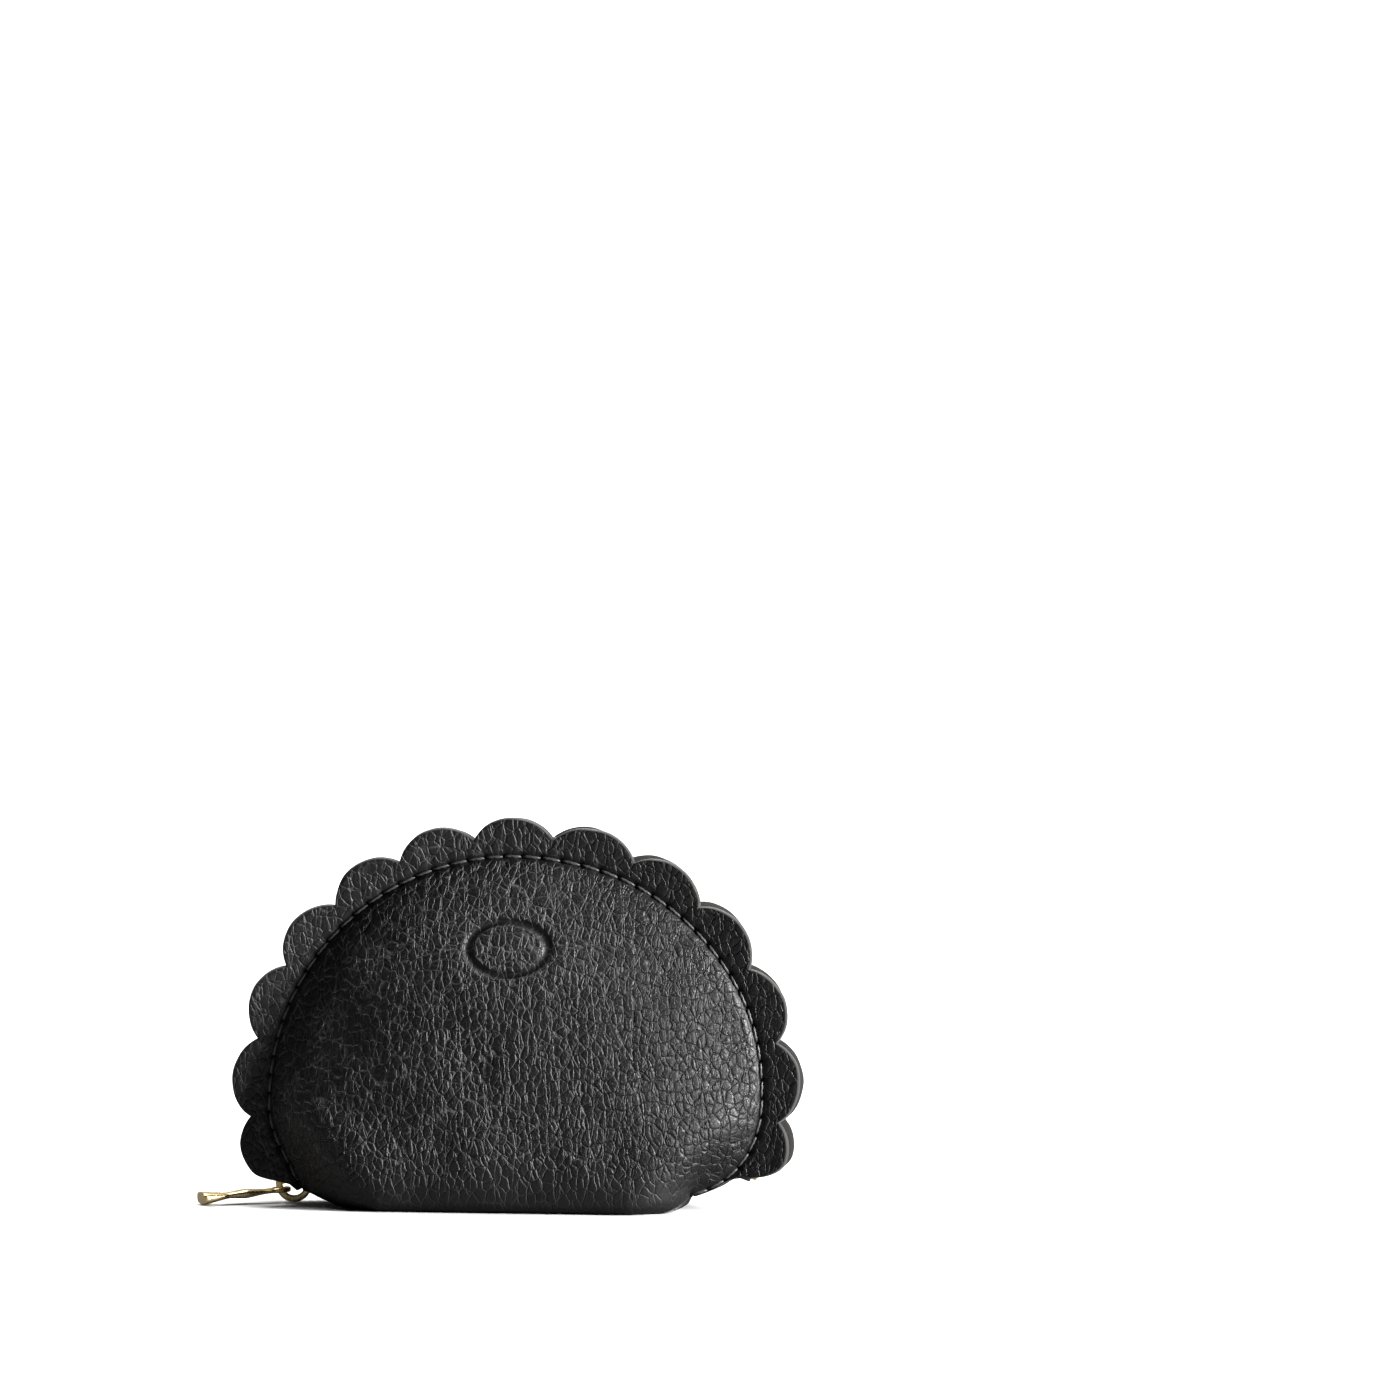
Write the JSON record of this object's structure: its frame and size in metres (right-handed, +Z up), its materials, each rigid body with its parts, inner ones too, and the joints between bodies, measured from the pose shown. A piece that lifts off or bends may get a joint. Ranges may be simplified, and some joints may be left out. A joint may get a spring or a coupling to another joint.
{
  "type": "coin purse",
  "caption": "Half-moon zip coin purse in pebbled leather with a flat base, a scalloped flange and a ring pull with a sculpted tab.",
  "frame": {"origin": "middle of the underside of the flat base", "axes": "+Z up, +X to the purse's right as seen from its front, -Y out of the front panel"},
  "size_m": [0.1526, 0.0441, 0.0977],
  "materials": {
    "leather": "pebbled, semi-matt",
    "tape": "woven",
    "coil": "satin",
    "thread": "bonded thread",
    "gold": "polished plate"
  },
  "bodies": {
    "purse_back": {"back_leather": "leather", "back_tape": "tape", "back_coil": "coil", "back_stitching": "thread", "bottom_stop": "gold", "back_top_stop": "gold", "left_tape_tail": "tape", "right_tape_tail": "tape"},
    "purse_front": {"front_leather": "leather", "front_tape": "tape", "front_coil": "coil", "front_stitching": "thread", "front_top_stop": "gold"},
    "slider": {"slider_body": "gold", "pull_pin": "gold"},
    "ring": {"pull_ring": "gold"},
    "tab": {"pull_tab": "gold"}
  },
  "joints": [
    {"name": "slider_travel", "type": "hinge", "parent": "purse_back", "child": "slider", "pos_m": [0, 0, 0.0292], "axis": [0, 1, 0], "range_deg": [0, 206], "deforming": ["front_coil", "back_coil", "front_tape", "back_tape"]},
    {"name": "mouth_opening", "type": "hinge", "parent": "purse_back", "child": "purse_front", "pos_m": [0, -0.022, 0.0024], "axis": [1, 0, 0], "range_deg": [0, 28]},
    {"name": "ring_swing", "type": "hinge", "parent": "slider", "child": "ring", "pos_m": [-0.05888, 0, 0.00594], "axis": [0, 1, 0], "range_deg": [-3, 22]},
    {"name": "tab_swing", "type": "hinge", "parent": "ring", "child": "tab", "pos_m": [-0.06063, 0, 0.00315], "axis": [-0.0606, -0.035, 0.9976], "range_deg": [-50, 30]}
  ],
  "couplings": [
    {"joint": "mouth_opening", "follows": "slider_travel", "ratio": 0.135}
  ]
}
